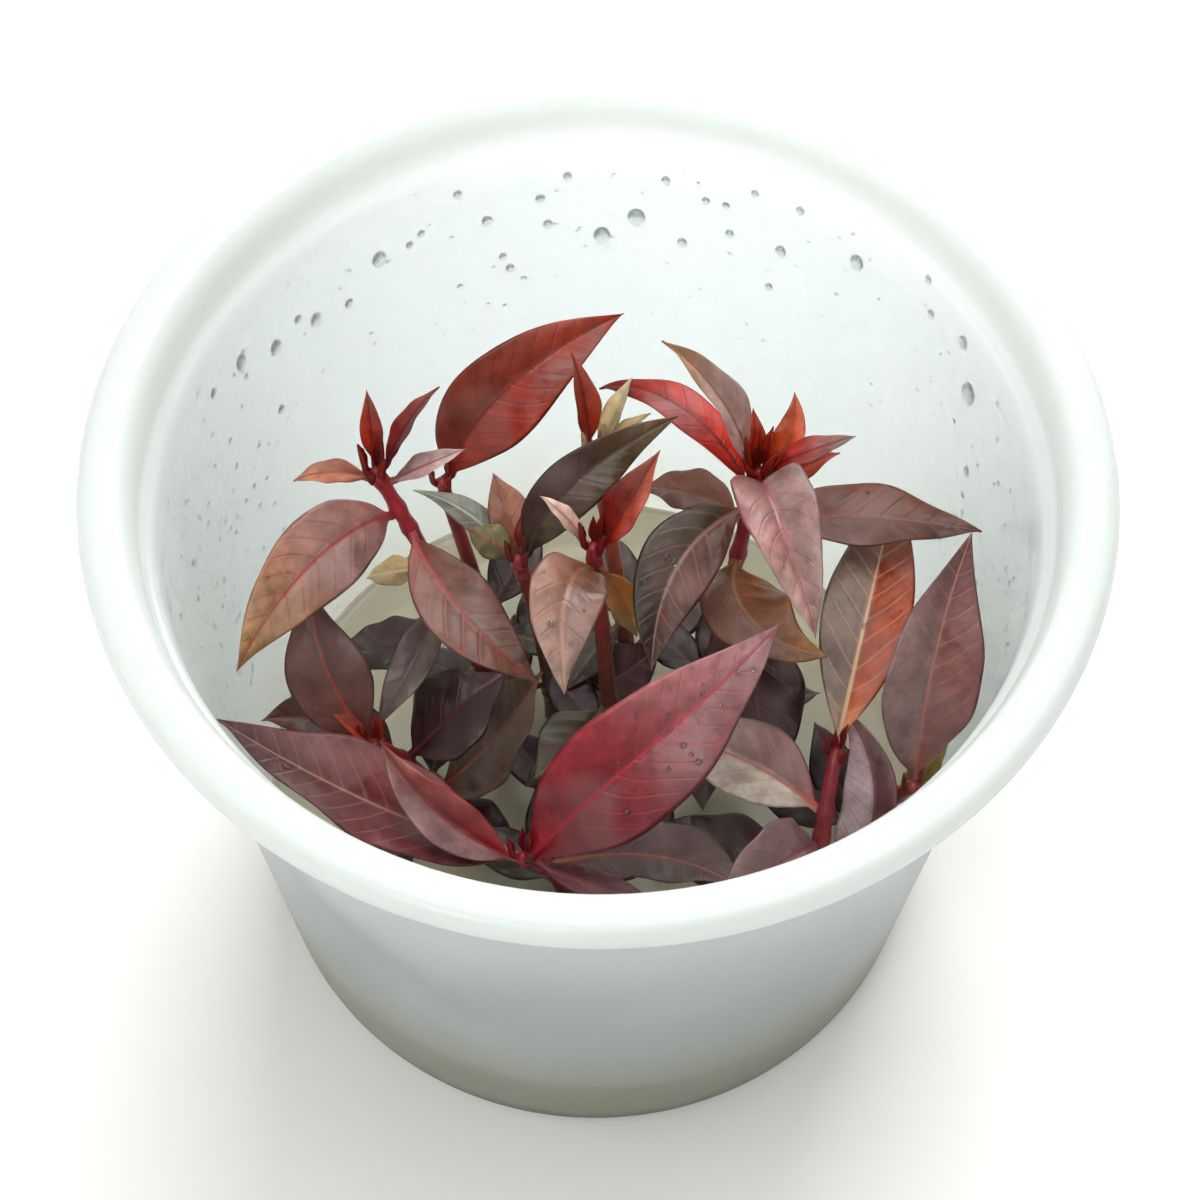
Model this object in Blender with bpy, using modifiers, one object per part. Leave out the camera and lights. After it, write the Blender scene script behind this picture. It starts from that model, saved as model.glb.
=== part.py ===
"""Red-leaved water plants, tissue cultured on nutrient gel in their open plastic cup.

The cup stands on z = 0 with its axis on the z axis. Ten shoots are rooted in the gel.
Each shoot is a stem with its own leaves, and every leaf is a separate thin blade.
Lengths in the tables are millimetres and angles are degrees; meshes are built in metres.
"""
import math

import bmesh
import bpy
from mathutils import Vector

MM = 0.001

# Cup, turned about the z axis
RIM_RADIUS = 50.5
CUP_HEIGHT = 80.0
BASE_RADIUS = 37.7
NECK_RADIUS = 45.2
NECK_HEIGHT = 77.0
WALL = 1.0
FLOOR = 1.2
HEEL = 1.6
LEDGE_HEIGHT = 73.2
LEDGE_WIDTH = 1.2
LIP_WIDTH = 4.3
LIP_DROP = 3.0
LIP_THICKNESS = 1.1
CUP_SEGMENTS = 56

# Gel, a disc that the cup holds, with a pocket for the foot of each stem
GAP = 0.3
GEL_TOP = 14.0
GEL_CREEP = 0.7
GEL_SEGMENTS = 48
POCKET_FLOOR = 6.2
POCKET_SIDES = 12

# Stems
STEM_FOOT = 6.5
STEM_FOOT_RADIUS = 1.15
STEM_CROWN_RADIUS = 0.75
STEM_STEPS = 8
STEM_BEVEL_RESOLUTION = 2

# Leaves
LEAF_THICKNESS = 0.5
LEAF_STEPS = 7
LEAF_SUBSTEPS = 4
LEAF_CLEARANCE = 0.65
PETIOLE_SHARE = 0.09
TIP_SHARE = 0.03

# Colours as sRGB hex, and roughness
CUP_COLOUR = "E6ECE8"
GEL_COLOUR = "D9D2B4"
STEM_COLOUR = "6E1E26"
LEAF_COLOUR = "7C4A46"

# One entry for each shoot: the foot (x, y), the crown (x, y, z), how late the stem
# bows from the vertical, and its leaves. A leaf is
# (height on the stem, toward, long, wide, rise, bend, sweep, fold, roll):
# toward is the direction it leaves the stem, from +x to +y; rise is the slope of its
# midrib at the stem, bend and sweep how much slope and direction change on the way to
# the tip, fold how far each half folds up, and roll the turn about the midrib.
SHOOTS = {
    "left_back": ((-10, 2), (-23.5, 10.5, 62), 1.6, [
        (61.5, 98, 11.5, 2.6, 86, 0, 0, 15, 0),
        (60.5, 176, 8.0, 3.2, 29, -50, 20, 10, 0),
        (60.5, -6, 9.0, 3.2, 48, -40, 30, 15, 0),
        (61.5, 38, 12.0, 3.0, 67, -20, -20, 20, 0),
        (56.7, -128, 27.0, 9.2, 46, -84, 5, 12, -30),
        (54.0, -66, 21.0, 8.4, -6, -23, 41, 12, 10),
        (48.0, -176, 6.0, 4.0, -2, -20, 0, 8, 0),
        (40.0, -147, 14.0, 7.0, 0, 0, -40, 10, 0),
        (45.0, -105, 16.0, 5.0, -5, -20, -22, 15, -2),
    ]),
    "rear_left": ((-11, 10), (-17.4, 18.3, 48.4), 1.5, [
        (48.8, 20, 29.5, 10.6, 80, -77, 7, 15, 46),
    ]),
    "rear": ((4, 10), (-0.5, 16.5, 57), 1.5, [
        (57.0, 117, 12.5, 3.8, 88, -29, 9, 25, 2),
    ]),
    "middle": ((-5, 8), (-8.5, 5.5, 53), 1.5, [
        (53.3, 17, 25.0, 6.4, 86, -94, 17, 10, 45),
        (51.5, 150, 5.5, 4.5, 40, -50, 0, 10, 0),
        (49.0, 104, 10.5, 5.0, 40, -40, 10, 10, 0),
        (46.5, 120, 15.5, 3.8, 20, -16, 48, 10, 0),
        (20.0, -23, 17.0, 9.0, 42, 10, 50, 10, 15),
    ]),
    "centre": ((2, -1), (-0.5, 2.8, 60), 1.5, [
        (59.5, 15, 14.0, 5.6, 74, -21, 30, 25, 15),
        (60.0, 156, 7.0, 2.4, 68, -40, 0, 15, 0),
        (57.5, -118, 20.0, 8.3, 62, -104, 39, 12, -11),
        (56.5, -45, 8.0, 4.4, -40, -11, -13, 10, -10),
        (32.0, -118, 14.0, 8.0, 20, 0, -10, 10, 0),
    ]),
    "right_back": ((12, 3), (16.8, 11, 62), 1.5, [
        (61.5, 146, 19.5, 6.0, 81, -48, 15, 15, 10),
        (59.0, 131, 21.5, 4.8, 50, -93, 27, 10, -2),
        (60.5, 31, 9.5, 3.6, 52, -18, 70, 15, 0),
        (62.4, -15, 10.3, 3.2, 64, -66, 37, 15, 8),
        (60.3, -87, 27.0, 10.0, 78, -133, 21, 25, 4),
        (57.0, -145, 21.5, 8.8, 16, -55, 56, 15, -8),
        (55.0, 145, 11.0, 6.0, 2, -15, 30, 10, 0),
        (55.0, 0, 23.5, 8.2, 9, -15, -8, 10, 0),
        (50.0, -104, 18.5, 9.6, 20, -20, 97, 10, -2),
        (42.0, -75, 20.0, 12.0, -8, -25, 0, 10, 0),
    ]),
    "right": ((28.5, -10), (34, -15, 41), 1.5, [
        (40.8, 90, 30.5, 11.2, 78, -32, -26, 15, 17),
        (36.5, 34, 7.0, 4.0, 60, -20, 0, 10, 0),
    ]),
    "right_front": ((23, -26), (25.2, -13.6, 47), 3.5, [
        (46.8, 76, 31.0, 9.7, 39, -67, 1, 10, -2),
        (42.0, 143, 18.0, 9.9, 17, -40, 17, 15, -8),
        (30.0, 23, 25.5, 8.2, 47, -9, 122, 20, -34),
        (40.0, -130, 16.5, 9.0, 52, -65, -16, 12, -36),
        (33.0, 155, 18.0, 10.0, 8, -20, 0, 10, 0),
    ]),
    "front": ((-3, -17), (-7.5, -25, 43), 1.6, [
        (43.0, 12, 38.0, 13.2, 66, -66, 39, 12, 36),
        (40.3, 177, 36.0, 13.0, 29, 10, -14, 15, 10),
        (42.7, 175, 19.5, 9.0, 34, 11, -47, 35, -23),
        (40.8, -28, 13.5, 3.5, 8, -26, 25, 10, 0),
        (33.0, 6, 25.0, 10.0, 25, 2, -59, 10, -16),
    ]),
    "left": ((-18, -5), (-23.5, -12, 43), 1.5, [
        (42.5, 144, 18.0, 9.2, 54, -26, -55, 12, -17),
        (35.0, 210, 10.5, 3.6, 50, 10, -35, 10, 0),
        (34.0, 31, 14.0, 10.5, 44, -25, 0, 10, 0),
        (32.0, 160, 18.0, 9.0, 50, -22, 50, 10, 0),
        (22.0, -1, 25.5, 12.0, 57, 12, 24, 10, 6),
    ]),
}


def clear_scene():
    """Remove the objects that the file starts with."""
    for thing in list(bpy.data.objects):
        bpy.data.objects.remove(thing, do_unlink=True)


def new_collection(name):
    """A collection linked to the scene."""
    collection = bpy.data.collections.new(name)
    bpy.context.scene.collection.children.link(collection)
    return collection


def linear(channel):
    """Linear light from one sRGB channel of 0 to 1."""
    if channel <= 0.04045:
        return channel / 12.92
    return ((channel + 0.055) / 1.055) ** 2.4


def material(name, colour, roughness, transmission=0.0):
    """A Principled material of one colour, given as sRGB hex."""
    made = bpy.data.materials.new(name)
    made.use_nodes = True
    shader = made.node_tree.nodes["Principled BSDF"]
    channels = [linear(int(colour[i:i + 2], 16) / 255) for i in (0, 2, 4)]
    shader.inputs["Base Color"].default_value = (*channels, 1.0)
    shader.inputs["Roughness"].default_value = roughness
    shader.inputs["Metallic"].default_value = 0.0
    shader.inputs["Transmission Weight"].default_value = transmission
    made.diffuse_color = (*channels, 1.0)
    return made


def add_object(name, data, collection, surface=None):
    """An object on the mesh or curve, in the collection, with its material."""
    thing = bpy.data.objects.new(name, data)
    collection.objects.link(thing)
    if surface is not None:
        data.materials.append(surface)
    return thing


def turned(name, profile, segments, collection, surface):
    """A solid turned about z from a profile of (radius, height) in millimetres.

    The profile starts on the axis, climbs the inside and comes down the outside.
    """
    mesh = bpy.data.meshes.new(name)
    points = [(radius * MM, 0.0, height * MM) for radius, height in profile]
    mesh.from_pydata(points, [(i, i + 1) for i in range(len(points) - 1)], [])
    thing = add_object(name, mesh, collection, surface)
    screw = thing.modifiers.new("Turn", 'SCREW')
    screw.axis = 'Z'
    screw.angle = math.tau
    screw.steps = segments
    screw.render_steps = segments
    screw.use_merge_vertices = True
    screw.merge_threshold = 0.00001
    screw.use_smooth_shade = True
    return thing


def wall_outside(height):
    """Outer radius of the tapered wall at a height."""
    return BASE_RADIUS + (NECK_RADIUS - BASE_RADIUS) * height / NECK_HEIGHT


def wall_inside(height):
    """Inner radius of the tapered wall at a height."""
    return wall_outside(height) - WALL


def cup_profile():
    """The inside from the floor up to the lid ledge, the lip, then the outside down."""
    ledge_in = wall_inside(LEDGE_HEIGHT)
    ledge_out = ledge_in + LEDGE_WIDTH
    neck_out = ledge_out + WALL
    crest_in = RIM_RADIUS - LIP_WIDTH
    inside = [
        (0.0, FLOOR),
        (wall_inside(0) - HEEL, FLOOR),
        (wall_inside(0) - 0.4 * HEEL, FLOOR + 0.25 * HEEL),
        (wall_inside(HEEL), FLOOR + HEEL),
        (wall_inside(LEDGE_HEIGHT / 2), LEDGE_HEIGHT / 2),
        (ledge_in, LEDGE_HEIGHT),
        (ledge_out, LEDGE_HEIGHT + 0.5),
        (ledge_out + 0.2, CUP_HEIGHT - LIP_DROP),
        (crest_in - 0.1, CUP_HEIGHT - 0.6),
    ]
    lip = [
        (crest_in + 0.5, CUP_HEIGHT),
        (RIM_RADIUS - 1.6, CUP_HEIGHT),
        (RIM_RADIUS - 0.6, CUP_HEIGHT - 0.4),
        (RIM_RADIUS - 0.2, CUP_HEIGHT - 1.2),
        (RIM_RADIUS, CUP_HEIGHT - LIP_DROP),
        (RIM_RADIUS - 0.9, CUP_HEIGHT - LIP_DROP),
        (RIM_RADIUS - LIP_THICKNESS, CUP_HEIGHT - LIP_THICKNESS - 0.2),
        (neck_out + 0.7, CUP_HEIGHT - LIP_THICKNESS - 0.2),
        (neck_out + 0.2, CUP_HEIGHT - LIP_THICKNESS - 1.0),
    ]
    outside = [
        (neck_out, LEDGE_HEIGHT + 0.2),
        (wall_outside(LEDGE_HEIGHT - 1.6), LEDGE_HEIGHT - 1.6),
        (wall_outside(LEDGE_HEIGHT / 2), LEDGE_HEIGHT / 2),
        (wall_outside(HEEL), HEEL),
        (wall_outside(0) - 0.35 * HEEL, 0.3 * HEEL),
        (wall_outside(0) - HEEL, 0.0),
        (0.0, 0.0),
    ]
    return inside + lip + outside


def gel_profile():
    """A disc a gap away from the cup, its top creeping a little way up the wall."""
    low = FLOOR + GAP
    edge_low = wall_inside(HEEL) - GAP
    edge_top = wall_inside(GEL_TOP) - GAP
    return [
        (0.0, GEL_TOP),
        (0.8 * edge_top, GEL_TOP),
        (edge_top - 0.9, GEL_TOP + 0.25 * GEL_CREEP),
        (edge_top, GEL_TOP + GEL_CREEP),
        (edge_low, FLOOR + HEEL),
        (wall_inside(0) - 0.5 * HEEL - GAP, low + 0.3 * HEEL),
        (wall_inside(0) - HEEL - GAP, low),
        (0.0, low),
    ]


def pocket_cutter(name, foot, collection):
    """The hole in the gel that one stem stands in."""
    height = GEL_TOP + 2 - POCKET_FLOOR
    mesh = bpy.data.meshes.new(name)
    shape = bmesh.new()
    radius = STEM_FOOT_RADIUS + GAP
    bmesh.ops.create_cone(shape, cap_ends=True, segments=POCKET_SIDES,
                          radius1=radius * MM, radius2=radius * MM, depth=height * MM)
    shape.to_mesh(mesh)
    shape.free()
    cutter = add_object(name, mesh, collection)
    cutter.location = (foot[0] * MM, foot[1] * MM, (POCKET_FLOOR + height / 2) * MM)
    cutter.hide_render = True
    cutter.display_type = 'WIRE'
    return cutter


def cut(thing, cutter):
    """Take the cutter out of the thing."""
    boolean = thing.modifiers.new("Cut " + cutter.name, 'BOOLEAN')
    boolean.operation = 'DIFFERENCE'
    boolean.solver = 'EXACT'
    boolean.object = cutter


def stem_point(foot, crown, bow, height):
    """Centre of a stem at a height: upright in the gel, then bowing to the crown."""
    share = (height - GEL_TOP) / (crown[2] - GEL_TOP)
    lean = max(share, 0.0) ** bow
    return Vector((foot[0] + (crown[0] - foot[0]) * lean,
                   foot[1] + (crown[1] - foot[1]) * lean, height))


def stem_radius(crown, height):
    """Radius of a stem at a height, thinning evenly up to the crown."""
    share = (height - STEM_FOOT) / (crown[2] - STEM_FOOT)
    return STEM_FOOT_RADIUS + (STEM_CROWN_RADIUS - STEM_FOOT_RADIUS) * share


def add_stem(name, foot, crown, bow, collection, surface):
    """A round stem from its foot in the gel to its crown."""
    curve = bpy.data.curves.new(name, 'CURVE')
    curve.dimensions = '3D'
    curve.bevel_depth = MM
    curve.bevel_resolution = STEM_BEVEL_RESOLUTION
    curve.use_fill_caps = True
    line = curve.splines.new('POLY')
    line.points.add(STEM_STEPS)
    for i, point in enumerate(line.points):
        height = STEM_FOOT + (crown[2] - STEM_FOOT) * i / STEM_STEPS
        point.co = (*(stem_point(foot, crown, bow, height) * MM), 1.0)
        point.radius = stem_radius(crown, height)
    return add_object(name, curve, collection, surface)


def half_width(share):
    """Half width of a blade along its midrib, as a share of the widest half."""
    blade = math.sin(math.pi * min(share, 1.0) ** 0.85) ** 1.1 if 0 < share < 1 else 0.0
    return max(blade, PETIOLE_SHARE * (1 - share) ** 2 + TIP_SHARE)


def directions(toward, slope, roll):
    """Along the midrib, across the blade to its left, and out of its upper face."""
    plan = Vector((math.cos(toward), math.sin(toward), 0.0))
    along = plan * math.cos(slope) + Vector((0, 0, math.sin(slope)))
    left = Vector((-plan.y, plan.x, 0.0))
    up = along.cross(left)
    across = left * math.cos(roll) + up * math.sin(roll)
    return along, across, along.cross(across)


def leaf_stations(start, leaf):
    """Point on the midrib, across and up directions and half width at each station."""
    _, toward, long, wide, rise, bend, sweep, _, roll = leaf
    steps = LEAF_STEPS * LEAF_SUBSTEPS
    point = start.copy()
    stations = []
    before = None
    for i in range(steps + 1):
        share = i / steps
        along, across, up = directions(math.radians(toward + sweep * share),
                                       math.radians(rise + bend * share), math.radians(roll))
        if before is not None:
            point = point + (along + before) * (0.5 * long / steps)
        before = along
        if i % LEAF_SUBSTEPS == 0:
            stations.append((point.copy(), across, up, 0.5 * wide * half_width(share)))
    return stations


def add_leaf(name, foot, crown, bow, leaf, collection, surface):
    """A thin folded blade that starts a hair's breadth outside its stem."""
    height, toward, fold = leaf[0], math.radians(leaf[1]), math.radians(leaf[7])
    away = stem_radius(crown, height) + LEAF_CLEARANCE
    start = stem_point(foot, crown, bow, height)
    start = start + Vector((math.cos(toward), math.sin(toward), 0.0)) * away
    stations = leaf_stations(start, leaf)
    shape = bmesh.new()
    bmesh.ops.create_grid(shape, x_segments=LEAF_STEPS, y_segments=2, size=1.0)
    for vertex in shape.verts:
        point, across, up, half = stations[round((vertex.co.x + 1) / 2 * LEAF_STEPS)]
        side = vertex.co.y * half
        vertex.co = (point + across * side * math.cos(fold)
                     + up * abs(side) * math.sin(fold)) * MM
    mesh = bpy.data.meshes.new(name)
    shape.to_mesh(mesh)
    shape.free()
    mesh.shade_smooth()
    thing = add_object(name, mesh, collection, surface)
    shell = thing.modifiers.new("Thickness", 'SOLIDIFY')
    shell.thickness = LEAF_THICKNESS * MM
    shell.offset = 0.0
    return thing


def main():
    """Build the cup, the gel, and each shoot with its leaves."""
    clear_scene()
    parts = new_collection("tissue culture plants in a cup")
    cutters = new_collection("cutters")
    plastic = material("cup plastic", CUP_COLOUR, 0.45, 0.5)
    jelly = material("nutrient gel", GEL_COLOUR, 0.2, 0.4)
    stalk = material("stem", STEM_COLOUR, 0.4)
    blade = material("leaf", LEAF_COLOUR, 0.4)
    turned("cup", cup_profile(), CUP_SEGMENTS, parts, plastic)
    gel = turned("gel", gel_profile(), GEL_SEGMENTS, parts, jelly)
    for place, (foot, crown, bow, leaves) in SHOOTS.items():
        cut(gel, pocket_cutter("pocket_" + place, foot, cutters))
        add_stem("stem_" + place, foot, crown, bow, parts, stalk)
        for number, leaf in enumerate(leaves, start=1):
            add_leaf(f"leaf_{place}_{number}", foot, crown, bow, leaf, parts, blade)


main()
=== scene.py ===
import math

import bpy
import numpy as np
from mathutils import Matrix


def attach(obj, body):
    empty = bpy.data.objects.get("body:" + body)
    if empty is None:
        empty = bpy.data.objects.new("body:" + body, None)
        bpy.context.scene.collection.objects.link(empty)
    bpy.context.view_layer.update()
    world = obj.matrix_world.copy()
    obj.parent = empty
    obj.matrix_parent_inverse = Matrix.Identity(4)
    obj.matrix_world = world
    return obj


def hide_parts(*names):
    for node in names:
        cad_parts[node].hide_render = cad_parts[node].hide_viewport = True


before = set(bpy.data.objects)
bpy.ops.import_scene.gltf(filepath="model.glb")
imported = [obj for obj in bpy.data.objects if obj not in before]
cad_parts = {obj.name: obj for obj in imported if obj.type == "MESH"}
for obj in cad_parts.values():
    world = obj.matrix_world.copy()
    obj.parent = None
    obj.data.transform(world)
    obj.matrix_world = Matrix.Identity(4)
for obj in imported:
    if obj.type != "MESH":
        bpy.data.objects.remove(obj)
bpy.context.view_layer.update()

# ---- The view
# The photograph looks down into the open cup from in front, from about 30 cm away
# and 59 degrees below the horizon, through a moderately long lens.
CAMERA_PLACE = (0.0003, -0.1472, 0.2958)
CAMERA_DIP = 58.74
CAMERA_ROLL = 0.74
CAMERA_LENS = 81.04

scene = bpy.context.scene
for thing in [o for o in scene.objects if o.type in {'CAMERA', 'LIGHT'}]:
    bpy.data.objects.remove(thing)
camera_data = bpy.data.cameras.new("camera")
camera_data.sensor_fit = 'HORIZONTAL'
camera_data.sensor_width = 36.0
camera_data.lens = CAMERA_LENS
camera_data.clip_start = 0.01
camera = bpy.data.objects.new("camera", camera_data)
scene.collection.objects.link(camera)
camera.matrix_world = (Matrix.Translation(CAMERA_PLACE)
                       @ Matrix.Rotation(math.radians(90 - CAMERA_DIP), 4, 'X')
                       @ Matrix.Rotation(math.radians(CAMERA_ROLL), 4, 'Z'))
scene.camera = camera

# ---- The floor and the light
# A pale matt sheet that sweeps up behind the cup, lit by four soft boxes, the strongest
# of them behind it, and by the white of the room. Lengths are in mm unless said otherwise.
MM = 0.001
FLOOR_HALF = 3000
FLOOR_SHIFT = 200
FLOOR_POINTS = 25
SWEEP_START = 1400
SWEEP_SOFTNESS = 800
FLOOR_COLOUR = "D6D6D4"
FLOOR_FLECK = "CFCFCD"
# Name, watts, side of its square, where it hangs and what it faces, in metres
SOFT_BOXES = (
    ("soft_box_overhead", 1.9, 0.40, (0.05, 0.10, 0.60), (0, 0, 0.03)),
    ("soft_box_front", 1.6, 0.30, (-0.16, -0.40, 0.52), (0, 0, 0.05)),
    ("soft_box_left", 0.8, 0.35, (-0.50, -0.05, 0.35), (0, 0, 0.04)),
    ("soft_box_behind", 5.0, 0.40, (0.10, 0.50, 0.24), (0, 0, 0.05)))


def linear(code):
    """Linear light of an sRGB hex colour: ((c + 0.055) / 1.055) ** 2.4, or c / 12.92 when dark."""
    channel = np.array([int(code[i:i + 2], 16) for i in (0, 2, 4)]) / 255
    light = np.where(channel <= 0.04045, channel / 12.92, ((channel + 0.055) / 1.055) ** 2.4)
    return (*light.tolist(), 1.0)


def add(tree, kind, inputs=None, **settings):
    """A node of a kind with its properties, and its inputs as values or as links."""
    node = tree.nodes.new(kind)
    for name, value in settings.items():
        setattr(node, name, value)
    for name, value in (inputs or {}).items():
        if isinstance(value, bpy.types.NodeSocket):
            tree.links.new(value, node.inputs[name])
        else:
            node.inputs[name].default_value = value
    return node


def noise(tree, place, scale, detail=2.0, **inputs):
    """Noise of a scale, 0 to 1, for a place in space."""
    return add(tree, "ShaderNodeTexNoise", {"Vector": place, "Scale": scale, "Detail": detail,
                                            **inputs}).outputs["Fac"]


def ranged(tree, value, low, high, start=0.0, end=1.0, **settings):
    """The value carried from start..end to low..high and held there beyond both ends."""
    return add(tree, "ShaderNodeMapRange", {"Value": value, "From Min": start, "From Max": end,
                                            "To Min": low, "To Max": high}, **settings).outputs[0]


def maths(tree, operation, *values):
    """One sum, product or other operation on up to three values."""
    return add(tree, "ShaderNodeMath", dict(enumerate(values)), operation=operation).outputs[0]


def mixed(tree, share, low, high):
    """The low colour where the share is 0, the high one where it is 1."""
    return add(tree, "ShaderNodeMix", {0: share, 6: low, 7: high}, data_type='RGBA').outputs[2]


def scaled(tree, colour, weight):
    """A colour times a weight."""
    return add(tree, "ShaderNodeVectorMath", {0: colour, "Scale": weight},
               operation='SCALE').outputs[0]


def bumped(tree, height, strength, distance):
    """A normal tilted by the slopes of a height."""
    return add(tree, "ShaderNodeBump", {"Height": height, "Strength": strength,
                                        "Distance": distance}).outputs[0]


def new_material(name):
    """An empty material, its node tree and its output."""
    made = bpy.data.materials.new(name)
    made.use_nodes = True
    made.node_tree.nodes.clear()
    return made, made.node_tree, made.node_tree.nodes.new("ShaderNodeOutputMaterial")


# Matt studio paper, rolled: even, with a faint cloudiness some 60 mm across.
floor_paper, tree, out = new_material("studio_paper")
place = add(tree, "ShaderNodeTexCoord").outputs["Object"]
tone = mixed(tree, noise(tree, place, 16.0, 3.0), linear(FLOOR_COLOUR), linear(FLOOR_FLECK))
paper = add(tree, "ShaderNodeBsdfPrincipled", {"Base Color": tone, "Roughness": 0.9})
tree.links.new(paper.outputs[0], out.inputs["Surface"])

# Height of the sheet: max(y - SWEEP_START, 0) ** 2 / SWEEP_SOFTNESS
steps = np.linspace(-1, 1, FLOOR_POINTS)
floor_y, floor_x = np.meshgrid(steps * FLOOR_HALF + FLOOR_SHIFT, steps * FLOOR_HALF,
                               indexing="ij")
floor_z = np.maximum(floor_y - SWEEP_START, 0) ** 2 / SWEEP_SOFTNESS
floor_points = np.stack([floor_x, floor_y, floor_z], -1)
index = np.arange(FLOOR_POINTS ** 2).reshape(FLOOR_POINTS, FLOOR_POINTS)
quads = np.stack([index[:-1, :-1], index[:-1, 1:], index[1:, 1:], index[1:, :-1]], -1)
floor_mesh = bpy.data.meshes.new("floor")
floor_mesh.from_pydata((floor_points.reshape(-1, 3) * MM).tolist(), [],
                       quads.reshape(-1, 4).tolist())
floor_mesh.materials.append(floor_paper)
floor_mesh.shade_smooth()
floor = bpy.data.objects.new("floor", floor_mesh)
scene.collection.objects.link(floor)

for name, watts, size, where, aim in SOFT_BOXES:
    lamp_data = bpy.data.lights.new(name, 'AREA')
    lamp_data.energy = watts
    lamp_data.size = size
    lamp = bpy.data.objects.new(name, lamp_data)
    scene.collection.objects.link(lamp)
    toward = np.array(where) - np.array(aim)
    lamp.location = where
    lamp.rotation_euler = (math.acos(toward[2] / np.linalg.norm(toward)), 0,
                           math.atan2(toward[1], toward[0]) + math.pi / 2)

# The room: bright overhead, dimmer towards its walls and floor
room = bpy.data.worlds.new("white_room")
room.use_nodes = True
way = add(room.node_tree, "ShaderNodeTexCoord").outputs["Generated"]
height = add(room.node_tree, "ShaderNodeSeparateXYZ", {0: way}).outputs["Z"]
bright = ranged(room.node_tree, height, 0.26, 0.84, start=-0.1)
white = room.node_tree.nodes["Background"]
white.inputs["Color"].default_value = linear("FFFEFC")
room.node_tree.links.new(bright, white.inputs["Strength"])
scene.world = room
scene.view_settings.view_transform = 'Standard'

# ---- The cup
# A thin-walled tub, injection moulded in natural polypropylene, with a ledge inside the
# mouth for its snap-on lid and a rolled lip turned down round the outside.
BASE_RADIUS = 37.7
NECK_RADIUS = 45.2
NECK_HEIGHT = 77.0
WALL = 1.0
RIM_RADIUS = 50.5
CUP_HEIGHT = 80.0
CUP_TURNS = 176
WALL_CLEAR_TO = 0.068    # in metres: the wall is at its clearest up to here, and from here on as milky as the lip and in its painted darker tone
LIP_MILKY_FROM = 0.074   # and from here on as milky as the lip
GEL_SHADE_STARTS = 0.028     # painted shade, cream like the jelly behind the wall, from here down, fully below this height
GEL_SHADE_FULL = 0.012   # fully below this height
PLASTIC_COLOUR = "ECEFEE"
PLASTIC_SHADE = "E2E6E4"
# Painted shade: the outside of the wall below the lip, darker bluish grey than the same plastic
# inside
PAINTED_OUTSIDE_SHADE = "AEBEC0"
# Painted shade: the outside of the wall low down, darkened and tinted to the jelly's cream
PAINTED_GEL_SHADE = "98957A"
# Painted shade: the lip's tone, darker than the same plastic of the wall
PAINTED_LIP_SHADE = "DCE2DF"
PLASTIC_GLOW = "F8FAF9"


def wall_radius(height):
    """Outer radius of the wall at a height: straight from BASE_RADIUS at 0 to NECK_RADIUS
    at NECK_HEIGHT."""
    return BASE_RADIUS + (NECK_RADIUS - BASE_RADIUS) * height / NECK_HEIGHT


def softened(corners, reach):
    """Round each corner C of a path: (1 - t)^2 P + 2 t (1 - t) C + t^2 Q for six t from 0
    to 1, where P and Q lie on its two legs, at most reach away and never past 0.45 of one."""
    corners = np.array(corners, float)
    before, corner, after = corners[:-2], corners[1:-1], corners[2:]
    share = np.linspace(0, 1, 6)[None, :, None]

    def toward(other):
        leg = other - corner
        size = np.linalg.norm(leg, axis=1, keepdims=True)
        return corner + leg * np.minimum(reach / size, 0.45)

    near, far = toward(before)[:, None], toward(after)[:, None]
    bend = (1 - share) ** 2 * near + 2 * share * (1 - share) * corner[:, None] + share ** 2 * far
    return np.vstack([corners[:1], bend.reshape(-1, 2), corners[-1:]])


def tube_faces(rows, around, first):
    """Quads between the rows of a closed tube whose first point has the number first, and
    one face over each of its two ends."""
    grid = first + np.arange(rows * around).reshape(rows, around)
    beside = np.roll(grid, -1, axis=1)
    quads = np.stack([grid[:-1], beside[:-1], beside[1:], grid[1:]], -1).reshape(-1, 4)
    return quads.tolist() + [grid[0][::-1].tolist(), grid[-1].tolist()]


def piece(name, tubes, surface, stands_for=(), layers=None):
    """A mesh of closed tubes, each an array of rows x around x (x, y, z) in millimetres, with
    its point attributes; it rides on the root body and stands for CAD nodes."""
    faces, first = [], 0
    for tube in tubes:
        faces += tube_faces(tube.shape[0], tube.shape[1], first)
        first += tube.shape[0] * tube.shape[1]
    mesh = bpy.data.meshes.new(name)
    points = np.vstack([tube.reshape(-1, 3) for tube in tubes]) * MM
    mesh.from_pydata(points.tolist(), [], faces)
    for label, values in (layers or {}).items():
        values = np.concatenate([v.reshape(-1, v.shape[-1]) for v in values])
        if values.shape[-1] == 4:
            layer = mesh.attributes.new(label, 'FLOAT_COLOR', 'POINT')
            layer.data.foreach_set("color", values.astype(np.float32).ravel())
        else:
            layer = mesh.attributes.new(label, 'FLOAT_VECTOR', 'POINT')
            layer.data.foreach_set("vector", values.astype(np.float32).ravel())
    mesh.materials.append(surface)
    mesh.shade_smooth()
    made = bpy.data.objects.new(name, mesh)
    scene.collection.objects.link(made)
    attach(made, "root")
    if stands_for:
        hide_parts(*stands_for)


def turned(profile, turns):
    """Rows of a solid of revolution: (r cos a, r sin a, z) for each (r, z) of the profile,
    with r never under 0.3, so that no two points meet on the axis."""
    angle = np.linspace(0, 2 * np.pi, turns, endpoint=False)
    radius, height = np.maximum(profile[:, :1], 0.3), np.repeat(profile[:, 1:], turns, 1)
    return np.stack([radius * np.cos(angle), radius * np.sin(angle), height], -1)


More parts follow.
